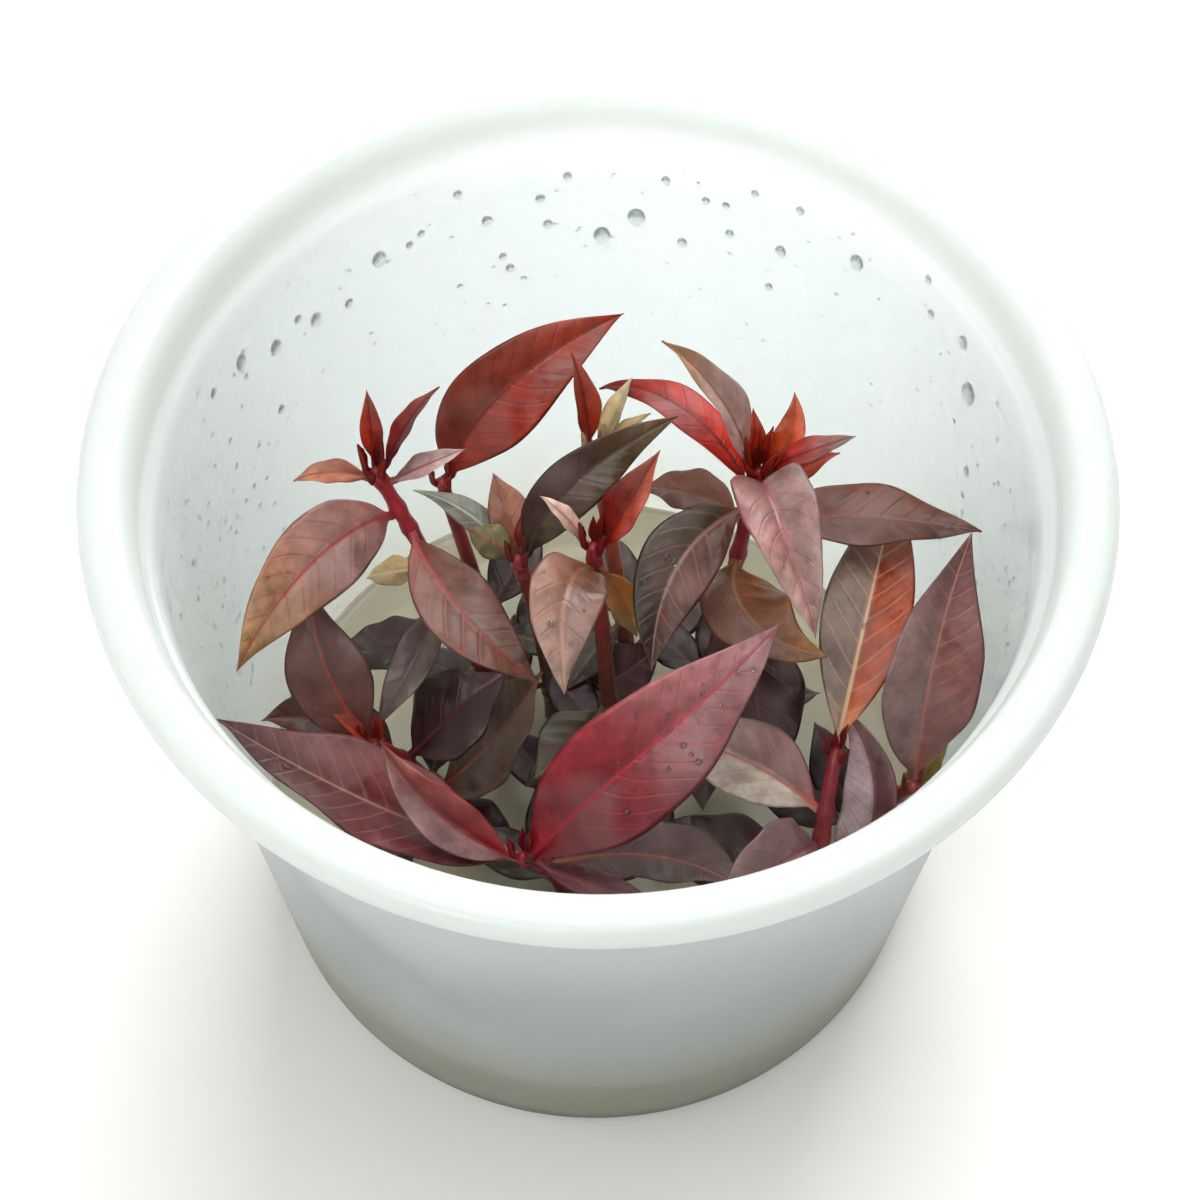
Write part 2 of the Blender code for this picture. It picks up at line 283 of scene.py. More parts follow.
# The profile as (radius, height): up the outside, over the rolled lip, down the inside
inner = wall_radius(73.2) - WALL
outside = [(0, 0), (BASE_RADIUS - 1.6, 0), (BASE_RADIUS - 0.5, 0.4), (wall_radius(1.7), 1.7),
           (wall_radius(36), 36), (wall_radius(71.4), 71.4), (inner + 2.2, 73.4),
           (inner + 2.4, 77.9), (inner + 2.9, 78.7)]
lip = [(RIM_RADIUS - 1.1, 78.7), (RIM_RADIUS - 0.9, 77.0), (RIM_RADIUS - 0.1, 76.9),
       (RIM_RADIUS, 78.6), (RIM_RADIUS - 0.6, 79.9), (RIM_RADIUS - 3.8, CUP_HEIGHT)]
inside = [(RIM_RADIUS - 4.5, 79.3), (inner + 1.3, 77.0), (inner + 1.2, 73.7), (inner, 73.1),
          (wall_radius(36) - WALL, 36), (wall_radius(4) - WALL, 4.0),
          (wall_radius(1.6) - WALL - 0.2, 2.2), (BASE_RADIUS - WALL - 1.8, 1.2), (0, 1.2)]
cup_profile = softened(outside + lip + inside, 0.9)

# Natural polypropylene, moulded with a fine spark-eroded grain: milky and translucent,
# satin inside and out, with soft flow marks that run up the wall.
cup_plastic, tree, out = new_material("moulded_polypropylene")
place = add(tree, "ShaderNodeTexCoord").outputs["Object"]
flow = add(tree, "ShaderNodeMapping", {"Vector": place, "Scale": (1.0, 1.0, 0.18)}).outputs[0]
marks = noise(tree, flow, 90.0)
tone = mixed(tree, marks, linear(PLASTIC_COLOUR), linear(PLASTIC_SHADE))
# Painted shade on the outside, a darker bluish grey, where sqrt(x^2 + y^2) is past the
# middle of the wall, and only below the lip
up = add(tree, "ShaderNodeSeparateXYZ", {0: place}).outputs["Z"]
flat = add(tree, "ShaderNodeVectorMath", {0: place, 1: (1.0, 1.0, 0.0)},
           operation='MULTIPLY').outputs[0]
reach = add(tree, "ShaderNodeVectorMath", {0: flat}, operation='LENGTH').outputs["Value"]
middle = maths(tree, 'MULTIPLY_ADD', up, (NECK_RADIUS - BASE_RADIUS) / NECK_HEIGHT,
               (BASE_RADIUS - 0.5 * WALL) * MM)
below = ranged(tree, up, 1.0, 0.0, WALL_CLEAR_TO, LIP_MILKY_FROM)
shaded_outside = maths(tree, 'MULTIPLY', maths(tree, 'GREATER_THAN', reach, middle), below)
# Painted shade: the lip takes a darker tone than the same plastic of the wall
tone = mixed(tree, below, linear(PAINTED_LIP_SHADE), tone)
# Painted shade low on the outside: the wall is darkened and tinted to the jelly's cream,
# as if the dim jelly showed through, and most where the jelly wets the wall
gel_shade_share = ranged(tree, up, 0.0, 1.0, GEL_SHADE_STARTS, GEL_SHADE_FULL)
outside_shade_tone = mixed(tree, gel_shade_share, linear(PAINTED_OUTSIDE_SHADE), linear(PAINTED_GEL_SHADE))
tone = mixed(tree, shaded_outside, tone, outside_shade_tone)
# The wall is thinner than the lip, so more of what is behind it shows
clear = ranged(tree, below, 0.5, 0.85)
cloud = ranged(tree, below, 0.4, 0.22)
shader = add(tree, "ShaderNodeBsdfPrincipled", {
    "Base Color": tone, "Roughness": ranged(tree, marks, 0.18, 0.30), "IOR": 1.49,
    "Normal": bumped(tree, noise(tree, place, 1500.0, 0.0), 0.2, 0.0002),
    "Transmission Weight": clear})
through = add(tree, "ShaderNodeBsdfTranslucent", {"Color": linear(PLASTIC_GLOW)})
milky = add(tree, "ShaderNodeMixShader", {0: cloud, 1: shader.outputs[0],
                                          2: through.outputs[0]})
tree.links.new(milky.outputs[0], out.inputs["Surface"])

piece("cup_moulding", [turned(cup_profile, CUP_TURNS)], cup_plastic, ["cup"])

# ---- The gel
# Nutrient jelly set with gellan gum, poured hot to 14 mm, cloudy with fine sediment and
# faintly cream; its rim creeps up the wall.
GEL_TOP = 14.0
GEL_GAP = 0.3
GEL_TURNS = 120
SWELL = 0.15
GEL_COLOUR = "E8E2CC"
GEL_CLOUD = "D0C8A8"

# Half the profile of the disc as (radius, height), from its underside to its top
gel_edge = wall_radius(GEL_TOP) - WALL - GEL_GAP
gel_profile = softened([
    (0, 1.5), (BASE_RADIUS - WALL - 2.1, 1.5), (BASE_RADIUS - WALL - 0.9, 2.1),
    (wall_radius(2.8) - WALL - GEL_GAP, 2.9), (gel_edge - 0.1, GEL_TOP - 1),
    (gel_edge, GEL_TOP + 0.7), (gel_edge - 0.9, GEL_TOP + 0.15), (0.8 * gel_edge, GEL_TOP),
    (0.4 * gel_edge, GEL_TOP), (0, GEL_TOP)], 0.5)
gel_rows = turned(gel_profile, GEL_TURNS)
# Its surface is slightly wavy: SWELL sin(x / 6.1 + 1) cos(y / 7.3)
swell = SWELL * np.sin(gel_rows[..., 0] / 6.1 + 1) * np.cos(gel_rows[..., 1] / 7.3)
gel_rows[..., 2] += np.where(gel_rows[..., 2] > GEL_TOP - 0.5, swell, 0)

# Set gellan jelly: watery gloss on top, light goes in and is soon lost in the cloud.
gel_jelly, tree, out = new_material("gellan_jelly")
place = add(tree, "ShaderNodeTexCoord").outputs["Object"]
cloud = noise(tree, place, 120.0, 5.0)
shader = add(tree, "ShaderNodeBsdfPrincipled", {
    "Base Color": mixed(tree, cloud, linear(GEL_COLOUR), linear(GEL_CLOUD)),
    "Roughness": ranged(tree, cloud, 0.12, 0.3), "IOR": 1.34, "Transmission Weight": 0.5,
    "Normal": bumped(tree, noise(tree, place, 260.0), 0.2, 0.0003)})
tree.links.new(shader.outputs[0], out.inputs["Surface"])

piece("gel_disc", [gel_rows], gel_jelly, ["gel"])

# ---- The stems
# Each shoot is one juicy stalk rooted in the jelly, dark maroon low down and redder
# towards its crown, a little swollen at the joints where its leaves are attached.
STEM_FOOT = 6.5
STEM_AROUND = 14
STEM_ROWS = 90
STEM_THICK = 1.15
STEM_THINS_BY = 0.4
JOINT_SWELL = 0.22
JOINT_REACH = 0.7
REDDER_FROM = 22

# Place: foot (x, y), crown (x, y, z), how late the stem bows, and its colours low and high
STEMS = {
    "left_back": ((-10, 2), (-23.5, 10.5, 62), 1.6, "5A2A28", "8E2028"),
    "rear_left": ((-11, 10), (-17.4, 18.3, 48.4), 1.5, "5A2A28", "8A2A2C"),
    "rear": ((4, 10), (-0.5, 16.5, 57), 1.5, "5E3028", "A04A34"),
    "middle": ((-5, 8), (-8.5, 5.5, 53), 1.5, "54402E", "7A2A28"),
    "centre": ((2, -1), (-0.5, 2.8, 60), 1.5, "5A3A2C", "7C1E22"),
    "right_back": ((12, 3), (16.8, 11, 62), 1.5, "5A2A28", "8A2226"),
    "right": ((28.5, -10), (34, -15, 41), 1.5, "6A4A38", "8A3A34"),
    "right_front": ((23, -26), (25.2, -13.6, 47), 3.5, "5A3A2E", "7A2026"),
    "front": ((-3, -17), (-7.5, -25, 43), 1.6, "5A2428", "8E1E2C"),
    "left": ((-18, -5), (-23.5, -12, 43), 1.5, "5A2A28", "96302C"),
}


def stem_middle(foot, crown, bow, height):
    """Centre of a stem at heights z: foot + (crown - foot) max((z - g) / (top - g), 0) ** bow,
    with g the top of the gel."""
    height = np.asarray(height, float)
    lean = np.maximum((height - GEL_TOP) / (crown[2] - GEL_TOP), 0)[..., None] ** bow
    flat = np.array(foot, float) + (np.array(crown[:2], float) - foot) * lean
    return np.concatenate([flat, height[..., None]], -1)


def stem_girth(crown, height):
    """Radius of a stem at heights z: STEM_THICK at the foot, thinning evenly by STEM_THINS_BY
    towards the crown."""
    share = np.clip((height - STEM_FOOT) / (crown[2] - STEM_FOOT), 0, 1)
    return STEM_THICK - STEM_THINS_BY * share


def carried(path, radius, around):
    """A round tube along a path: p + r (a cos t + b sin t), a and b square to the path."""
    along = np.gradient(path, axis=0)
    along /= np.linalg.norm(along, axis=1, keepdims=True)
    side = np.cross(along, (0.0, 0.3, 1.0) if abs(along[0, 2]) < 0.7 else (0.0, 1.0, 0.0))
    side /= np.linalg.norm(side, axis=1, keepdims=True)
    other = np.cross(along, side)
    angle = np.linspace(0, 2 * np.pi, around, endpoint=False)[None, :, None]
    ring = side[:, None] * np.cos(angle) + other[:, None] * np.sin(angle)
    return path[:, None] + np.asarray(radius, float).reshape(-1, 1, 1) * ring


# Fleshy stalk: smooth waxy skin over wet tissue, finely ribbed along its length.
stem_skin, tree, out = new_material("fleshy_stalk")
place = add(tree, "ShaderNodeTexCoord").outputs["Object"]
skin = add(tree, "ShaderNodeAttribute", attribute_name="tint").outputs["Color"]
long_way = add(tree, "ShaderNodeMapping", {"Vector": place, "Scale": (1.0, 1.0, 0.15)}).outputs[0]
blotch = noise(tree, place, 420.0, 4.0)
shader = add(tree, "ShaderNodeBsdfPrincipled", {
    "Base Color": scaled(tree, skin, ranged(tree, blotch, 0.65, 1.25, 0.3, 0.7)),
    "Roughness": ranged(tree, blotch, 0.25, 0.45), "IOR": 1.42,
    "Normal": bumped(tree, noise(tree, long_way, 2400.0), 0.35, 0.0002)})
tree.links.new(shader.outputs[0], out.inputs["Surface"])


def blended(share, low, high):
    """Colour between two hex colours, smoothly: low where the share is 0, high where it is 1."""
    share = np.clip(share, 0, 1)[..., None]
    share = share * share * (3 - 2 * share)
    return np.array(linear(low)) * (1 - share) + np.array(linear(high)) * share


def stem(place_name, joints):
    """One stem, which swells by JOINT_SWELL exp(-((z - joint) / JOINT_REACH) ** 2) at each
    joint and closes over its crown."""
    foot, crown, bow, low, high = STEMS[place_name]
    height = np.linspace(STEM_FOOT, crown[2], STEM_ROWS)
    swell = sum(np.exp(-((height - joint) / JOINT_REACH) ** 2) for joint in joints)
    radius = stem_girth(crown, height) + JOINT_SWELL * np.minimum(swell, 1)
    radius[-3:] *= (0.9, 0.7, 0.35)
    tube = carried(stem_middle(foot, crown, bow, height), radius, STEM_AROUND)
    share = np.repeat(((height - REDDER_FROM) / (crown[2] - REDDER_FROM))[:, None],
                      STEM_AROUND, 1)
    piece("stalk_" + place_name, [tube], stem_skin, ["stem_" + place_name],
          {"tint": [blended(share, low, high)]})


# ---- The leaves
# Thin blades, pointed at both ends and folded up a little along the midrib, on short
# stalks that grow out of the stem; wine red, mauve and tan above, redder below.
LEAF_ROWS = 56
LEAF_ACROSS = 20
STALK_ROWS = 6
STALK_REACH = 0.65
HALF_THICK = 0.11
RIB_DEPTH = 0.42
FOLD_GAIN = 1.5
WAVE_LIMIT = 0.42
WAVE_SHARE = 0.045
FURROW_APART = 2.4
FURROW_DEPTH = 0.05
VEIN_HALF_APART = 1.3
# How the side veins run back from the edge: by VEIN_LEAN w + VEIN_BOW w ** 2
VEIN_LEAN = 0.85
VEIN_BOW = 0.05
# Painted sheen: the pale colour that patches of the upper face are mixed towards
PAINTED_SHEEN = "A8908C"
DEPTH = (1.18, 1.26, 1.28)

# Place: for each leaf its height on the stem, toward, long, wide, rise, bend, sweep,
# fold, roll, then its colours: upper at the base, upper at the tip, under, midrib and,
# where the two halves differ, the half to the left of the way to its tip; that half's
# colour is partly its own tone and partly painted shade and highlight of the fold.
LEAVES = {
    "left_back": [
        (61.5, 98, 11.5, 2.6, 86, 0, 0, 15, 0, "A8402A B4502E B0442A 7A2622"),
        (60.5, 176, 8.0, 3.2, 29, -50, 20, 10, 0, "A4684E C49A78 B85A34 8C3A2A"),
        (60.5, -6, 9.0, 3.2, 48, -40, 30, 15, 0, "A8908E C8B8B4 A0504A 8C4A48"),
        (61.5, 38, 12.0, 3.0, 67, -20, -20, 20, 0, "7E2A2A 8A3A30 B4502C 5E1C22"),
        (56.7, -128, 27.0, 9.2, 46, -84, 5, 12, -30, "A4807A B2905E 8A4A3A A03038"),
        (54.0, -66, 21.0, 8.4, -6, -23, 41, 12, 10, "8A6458 7C6050 8C3A30 A83438"),
        (48.0, -176, 6.0, 4.0, -2, -20, 0, 8, 0, "C9B48A D8CBA0 B89A5A E0D8B8"),
        (40.0, -147, 14.0, 7.0, 0, 0, -40, 10, 0, "4A3830 40302A 4A3028 5E3C30"),
        (45.0, -105, 16.0, 5.0, -5, -20, -22, 15, -2, "7C7470 6A625A 7A4A40 6A5654"),
    ],
    "rear_left": [
        (48.8, 20, 29.5, 10.6, 80, -77, 7, 15, 46, "B2401E AA4A2A AA4426 7A2A28 84463A"),
    ],
    "rear": [
        (57.0, 117, 12.5, 3.8, 88, -29, 9, 25, 2, "A8402A B24A2E B0482C 7A2622"),
    ],
    "middle": [
        (53.3, 17, 25.0, 6.4, 86, -94, 17, 10, 45, "4C4A26 72603A 5E3A2A 4A3834 4A3C36"),
        (51.5, 150, 5.5, 4.5, 40, -50, 0, 10, 0, "6E7048 7C7A50 6A5A3A 8A3030"),
        (49.0, 104, 10.5, 5.0, 40, -40, 10, 10, 0, "96654A A87A58 A05434 7A3A2C"),
        (46.5, 120, 15.5, 3.8, 20, -16, 48, 10, 0, "7E8A7C 98A090 7A7A62 B4BCA8"),
        (20.0, -23, 17.0, 9.0, 42, 10, 50, 10, 15, "4E242C 42222A 5A2426 A0606A"),
    ],
    "centre": [
        (59.5, 15, 14.0, 5.6, 74, -21, 30, 25, 15, "A83A1E C4601E A8442A 6A2222 8A2A22"),
        (60.0, 156, 7.0, 2.4, 68, -40, 0, 15, 0, "D8BEB0 E4D4C4 C89A88 B07A70"),
        (57.5, -118, 20.0, 8.3, 62, -104, 39, 12, -11, "96705F AE9A90 8A4A40 A87658"),
        (56.5, -45, 8.0, 4.4, -40, -11, -13, 10, -10, "A0703E 8C8A4A A0683A 8A4A2C"),
        (32.0, -118, 14.0, 8.0, 20, 0, -10, 10, 0, "54502E 605C38 463E28 7A724C"),
    ],
    "right_back": [
        (61.5, 146, 19.5, 6.0, 81, -48, 15, 15, 10, "BCA49E A48868 9A5A4A 96504E"),
        (59.0, 131, 21.5, 4.8, 50, -93, 27, 10, -2, "C83414 76281E B8321E 6E1C20"),
        (60.5, 31, 9.5, 3.6, 52, -18, 70, 15, 0, "C05A26 C8682E C8581E 8A3018"),
        (62.4, -15, 10.3, 3.2, 64, -66, 37, 15, 8, "A43A30 8C7A76 B04A30 7A2020"),
        (60.3, -87, 27.0, 10.0, 78, -133, 21, 25, 4, "8E5E5C B8A09A 8A4440 A8485A B09692"),
        (57.0, -145, 21.5, 8.8, 16, -55, 56, 15, -8, "464426 463C2C 5E3024 9A6A5C 6C4A3E"),
        (55.0, 145, 11.0, 6.0, 2, -15, 30, 10, 0, "7A5A4C 8A6048 8A4A2C 8A4A30"),
        (55.0, 0, 23.5, 8.2, 9, -15, -8, 10, 0, "84503E 684C3E 7A4034 96564A"),
        (50.0, -104, 18.5, 9.6, 20, -20, 97, 10, -2, "8C5C3C 8E6A3E 8A5E34 A87848"),
        (42.0, -75, 20.0, 12.0, -8, -25, 0, 10, 0, "4A241E 40201A 6A321C 5E2622"),
    ],
    "right": [
        (40.8, 90, 30.5, 11.2, 78, -32, -26, 15, 17, "9A7270 6E4A48 8A4A44 C08070 AC9694"),
        (36.5, 34, 7.0, 4.0, 60, -20, 0, 10, 0, "A09A5A B0A860 8E8448 B8B078"),
    ],
    "right_front": [
        (46.8, 76, 31.0, 9.7, 39, -67, 1, 10, -2, "A85428 845A4A A8482A D8B48A 94897F"),
        (42.0, 143, 18.0, 9.9, 17, -40, 17, 15, -8, "8A6E6C CCBEB8 A87060 B04A34 E2DACE"),
        (30.0, 23, 25.5, 8.2, 47, -9, 122, 20, -34, "6E3A44 B49A9C 7A3A3A 8A3A44 D0C0C2"),
        (40.0, -130, 16.5, 9.0, 52, -65, -16, 12, -36, "A28286 B0989A 8A4A48 8A5058"),
        (33.0, 155, 18.0, 10.0, 8, -20, 0, 10, 0, "40302A 4A382E 4A2A1E 5E4030"),
    ],
    "front": [
        (43.0, 12, 38.0, 13.2, 66, -66, 39, 12, 36, "94303E B89698 8A2A30 C02A44"),
        (40.3, 177, 36.0, 13.0, 29, 10, -14, 15, 10, "8C5056 6E5A58 7A3A34 B08A78"),
        (42.7, 175, 19.5, 9.0, 34, 11, -47, 35, -23, "A02A34 A87A74 8A3A38 B03A40 C4A4A4"),
        (40.8, -28, 13.5, 3.5, 8, -26, 25, 10, 0, "6E2630 7A3038 6A2024 8A3038"),
        (33.0, 6, 25.0, 10.0, 25, 2, -59, 10, -16, "6E6264 7A6C6A 6A4A44 B0643E"),
    ],
    "left": [
        (42.5, 144, 18.0, 9.2, 54, -26, -55, 12, -17, "7A5854 6E544E 7A3A2C B04A34"),
        (35.0, 210, 10.5, 3.6, 50, 10, -35, 10, 0, "A84A34 B05A40 A8442A 8A2A24"),
        (34.0, 31, 14.0, 10.5, 44, -25, 0, 10, 0, "42222A 4C2A32 4A1E22 6A3038"),
        (32.0, 160, 18.0, 9.0, 50, -22, 50, 10, 0, "6E4E44 7A5A4C 6A3A2C 8A5A44"),
        (22.0, -1, 25.5, 12.0, 57, 12, 24, 10, 6, "6A5446 6E5E4A 6A3E2C B0503A"),
    ],
}


def unit(vectors):
    """Vectors at length 1."""
    return vectors / np.linalg.norm(vectors, axis=-1, keepdims=True)


def leaf_frames(shares, toward, rise, bend, sweep, roll):
    """Along, across and out of the blade: the slope is rise + bend t and the direction
    toward + sweep t, both in degrees, and the blade is rolled about the midrib."""
    slope = np.radians(rise + bend * shares)
    heading = np.radians(toward + sweep * shares)
    plan = np.stack([np.cos(heading), np.sin(heading), 0 * heading], -1)
    along = plan * np.cos(slope)[:, None] + np.array([0, 0, 1]) * np.sin(slope)[:, None]
    left = np.stack([-plan[:, 1], plan[:, 0], 0 * heading], -1)
    up = np.cross(along, left)
    across = left * math.cos(math.radians(roll)) + up * math.sin(math.radians(roll))
    return along, across, np.cross(along, across)


def half_outline(shares):
    """Half width over the widest half: sin(pi t^0.85)^1.1, never less than the stalk's
    0.09 (1 - t)^2 + 0.03."""
    blade = np.sin(np.pi * np.clip(shares, 0, 1) ** 0.85)
    return np.maximum(np.maximum(blade, 0) ** 1.1, 0.09 * (1 - shares) ** 2 + 0.03)


def leaf_tube(middle, girth, leaf, seed, rows, half_steps):
    """A leaf as a flat tube: upper face from its left edge to its right, and back below.

    The midrib is a curve of constant speed along the frames. With w the half width, s from
    -1 to 1 across it and a the fold, each point stands off by w s cos(a) across and lies
    w |s| sin(a) (1.15 - 0.45 |s|) higher, and half the thickness above or below that, with
    a rib of RIB_DEPTH under the midrib. The tube starts with the stalk, inside the stem.
    """
    _, toward, long, wide, rise, bend, sweep, fold, roll = leaf[:9]
    chance = np.random.default_rng(seed)
    shares = np.linspace(0, 1, rows + 1)
    along, across, out_of = leaf_frames(shares, toward, rise, bend, sweep, roll)
    plan = np.array([math.cos(math.radians(toward)), math.sin(math.radians(toward)), 0])
    start = middle + plan * (girth + STALK_REACH)
    pace = 0.5 * (along[1:] + along[:-1]) * long / rows
    rib = np.vstack([start, start + np.cumsum(pace, 0)])

    # The stalk: a cubic from inside the stem to the start of the blade
    t = np.linspace(0, 1, STALK_ROWS, endpoint=False)[:, None]
    heart = middle - np.array([0, 0, 0.9 * math.sin(math.radians(rise))])
    leave, arrive = plan * 1.2, along[0] * 1.2
    stalk = ((2 * t ** 3 - 3 * t ** 2 + 1) * heart + (t ** 3 - 2 * t ** 2 + t) * leave
             + (3 * t ** 2 - 2 * t ** 3) * start + (t ** 3 - t ** 2) * arrive)
    rib = np.vstack([stalk, rib])
    t_all = np.concatenate([np.linspace(-0.06, 0, STALK_ROWS, endpoint=False), shares])
    across = np.vstack([np.repeat(across[:1], STALK_ROWS, 0), across])
    out_of = np.vstack([np.repeat(out_of[:1], STALK_ROWS, 0), out_of])

    # Half width, at least that of the stalk near the foot and nearly closed at the tip
    half = 0.5 * wide * half_outline(np.clip(t_all, 0, 1))
    half = np.maximum(half, 0.42 * np.clip(1 - 3 * t_all, 0, 1))
    half[-1] *= 0.15
    # Round the tube: s falls from 1 to -1 over the upper face and rises again below
    s = np.linspace(1, -1, 2 * half_steps + 1)
    s = np.sign(s) * np.abs(s) ** 0.9
    s = np.concatenate([s, s[1:-1][::-1]])
    face = np.concatenate([np.ones(2 * half_steps + 1), -np.ones(2 * half_steps - 1)])
    face[[0, 2 * half_steps]] = 0
    side = half[:, None] * s
    size = np.abs(side)

    # Folded halves that flatten towards the edge, with slow waves that grow to the edge
    tilt = math.radians(FOLD_GAIN * fold)
    spread = side * math.cos(tilt)
    lift = size * math.sin(tilt) * (1.15 - 0.45 * np.abs(s))
    beat = chance.uniform(2.2, 3.6)
    phase = chance.uniform(0, 2 * np.pi, 2)[(s > 0).astype(int)]
    swing = min(WAVE_LIMIT, WAVE_SHARE * wide)
    grow = np.clip(t_all, 0, 1)[:, None] * np.clip(1.15 - t_all, 0, 1)[:, None] * 3
    lift = lift + swing * grow * s ** 2 * np.sin(2 * np.pi * beat * t_all[:, None] + phase)
    # Soft furrows along the veins: FURROW_DEPTH cos(2 pi n), n the number of furrows passed
    run = np.maximum(t_all, 0)[:, None] * long
    furrow = (run - VEIN_LEAN * size - VEIN_BOW * size ** 2) / FURROW_APART
    quilt = (FURROW_DEPTH * np.cos(2 * np.pi * furrow) * np.clip(size / 0.8, 0, 1)
             * np.clip(3 - 3 * np.abs(s), 0, 1))
    lift = lift + quilt * min(1.0, wide / 6)

    # Thickness: a midrib that thins towards the tip, a groove over it, and a round stalk
    stout = np.clip(1 - 0.75 * t_all, 0.2, 1)[:, None]
    edge = np.sqrt(np.clip(1 - s ** 2, 0, 1))
    rib_width = 0.34 * stout + 0.08
    under = HALF_THICK * edge + RIB_DEPTH * stout * np.exp(-(size / rib_width) ** 2) * edge
    groove = 0.07 * np.exp(-(size / (0.8 * rib_width)) ** 2) * (t_all[:, None] > 0)
    over = HALF_THICK * edge - groove
    stalk_share = np.clip(1 - 10 * np.maximum(t_all, 0), 0, 1)[:, None]
    over = over + 0.22 * edge * stalk_share
    stand = np.where(face > 0, over, np.where(face < 0, -under, 0))
    points = (rib[:, None] + across[:, None] * spread[..., None]
              + out_of[:, None] * (lift + stand)[..., None])

    share_grid = np.repeat(t_all[:, None], len(s), 1)
    blade_mm = np.stack([run + 0 * side, side, face + 0 * side], -1)
    blade_share = np.stack([share_grid, s + 0 * side, np.abs(s) + 0 * side], -1)
    return points, blade_mm, blade_share


def leaf_tint(blade_share, face, codes, chance):
    """Colour of the skin: from base to tip on the upper face, a half of its own where the
    halves differ, partly its own tone and partly painted shade of the fold, the underside
    below, and redder towards the stalk; over it a slow random change of tone and painted
    shade that makes one half of each blade lighter and the other darker. The codes are
    colours as lit from both sides, so each channel is raised to its DEPTH for the skin itself."""
    base, tip, under, rib = codes[:4]
    t, s = blade_share[..., 0], blade_share[..., 1]
    skin = blended((t - 0.35) / 0.65, base, tip)
    # The left half's own colour: partly the leaf's own tone, partly painted shade and highlight of
    # the fold
    if len(codes) > 4:
        other = blended((t - 0.5) / 0.6, codes[4], tip)
        part = np.clip(s * 6 + 0.5, 0, 1)[..., None]
        skin = skin * (1 - part) + other * part
    below = np.array(linear(under)) * np.ones(skin.shape)
    skin = np.where((face < -0.5)[..., None], below, skin)
    stalk_red = np.clip(1 - (t + 0.02) / 0.16, 0, 1)[..., None] * 0.75
    skin = skin * (1 - stalk_red) + np.array(linear(rib)) * stalk_red
    tone_and_fold_shade = 1 + 0.10 * np.sin(7 * t + chance.uniform(0, 6)) * np.cos(4 * s + chance.uniform(0, 6))
    # Painted shade: one half of the blade up to 16% lighter and the other darker, as the halves of
    # a fold catch the light
    tone_and_fold_shade = tone_and_fold_shade * (1 + 0.16 * np.clip(3 * s, -1, 1) * chance.choice([-1, 1]))
    skin[..., :3] = np.clip(skin[..., :3] * tone_and_fold_shade[..., None], 0, 1) ** DEPTH
    return skin


# Living leaf: waxy cuticle over translucent tissue. Side veins 2.6 mm apart arch to the
# edge, with a fine relief under 1 mm between them, and the wax is unevenly glossy.
leaf_skin, tree, out = new_material("waxy_leaf")
mm_way = add(tree, "ShaderNodeAttribute", attribute_name="blade_mm").outputs["Vector"]
share_way = add(tree, "ShaderNodeAttribute", attribute_name="blade_share").outputs["Vector"]
skin = add(tree, "ShaderNodeAttribute", attribute_name="tint").outputs["Color"]
rib_skin = add(tree, "ShaderNodeAttribute", attribute_name="rib_tint").outputs["Color"]
run, side, face = add(tree, "ShaderNodeSeparateXYZ", {0: mm_way}).outputs
share, _, edge = add(tree, "ShaderNodeSeparateXYZ", {0: share_way}).outputs
off = maths(tree, 'ABSOLUTE', side)
# n = (run - VEIN_LEAN off - VEIN_BOW off^2 + 0.8 wander) / VEIN_HALF_APART, and how far it
# is from the nearest even number: a vein lies on each of those and fades to the edge
lean = maths(tree, 'MULTIPLY_ADD', off, -VEIN_LEAN, run)
lean = maths(tree, 'MULTIPLY_ADD', maths(tree, 'MULTIPLY', off, off), -VEIN_BOW, lean)
lean = maths(tree, 'MULTIPLY_ADD', noise(tree, mm_way, 0.2, 0.0), 0.8, lean)
near = maths(tree, 'PINGPONG', maths(tree, 'DIVIDE', lean, VEIN_HALF_APART), 1.0)
side_vein = maths(tree, 'MULTIPLY',
                  ranged(tree, near, 1.0, 0.0, 0.0, 0.22, interpolation_type='SMOOTHSTEP'),
                  ranged(tree, edge, 1.0, 0.0, 0.75, 1.0))
# The midrib: off over a half width that narrows from 0.36 to 0.08 mm
rib_near = maths(tree, 'DIVIDE', off, ranged(tree, share, 0.36, 0.08))
rib_line = ranged(tree, rib_near, 1.0, 0.0, 0.35, 1.0, interpolation_type='SMOOTHSTEP')
mottle = noise(tree, mm_way, 0.55, 3.0, Roughness=0.6)
tone = scaled(tree, skin, ranged(tree, mottle, 0.64, 1.30, 0.3, 0.7))
# Painted sheen: pale patches some 8 mm across mixed into the colour of the upper face
sheen_patch = ranged(tree, noise(tree, mm_way, 0.14, 1.0), 0.0, 0.22, 0.46, 0.68)
upper = maths(tree, 'MAXIMUM', face, 0.0)
tone = mixed(tree, maths(tree, 'MULTIPLY', sheen_patch, upper), tone, linear(PAINTED_SHEEN))
tone = mixed(tree, maths(tree, 'MULTIPLY', side_vein, 0.26), tone, rib_skin)
tone = mixed(tree, maths(tree, 'MULTIPLY', rib_line, 0.8), tone, rib_skin)
hill = maths(tree, 'MULTIPLY_ADD', side_vein, -1.0, noise(tree, mm_way, 1.7, 0.0))
shader = add(tree, "ShaderNodeBsdfPrincipled", {
    "Base Color": tone, "Roughness": ranged(tree, mottle, 0.30, 0.48, 0.3, 0.7),
    "Normal": bumped(tree, hill, 0.35, 0.00012), "IOR": 1.5,
    "Coat Weight": 0.2, "Coat Roughness": 0.3})
# Light that comes through crosses two skins, so each takes the root of the colour
root = add(tree, "ShaderNodeGamma", {"Color": tone, "Gamma": 0.5})
through = add(tree, "ShaderNodeBsdfTranslucent", {"Color": root.outputs[0]})
tissue = add(tree, "ShaderNodeMixShader", {0: 0.4, 1: shader.outputs[0], 2: through.outputs[0]})
tree.links.new(tissue.outputs[0], out.inputs["Surface"])


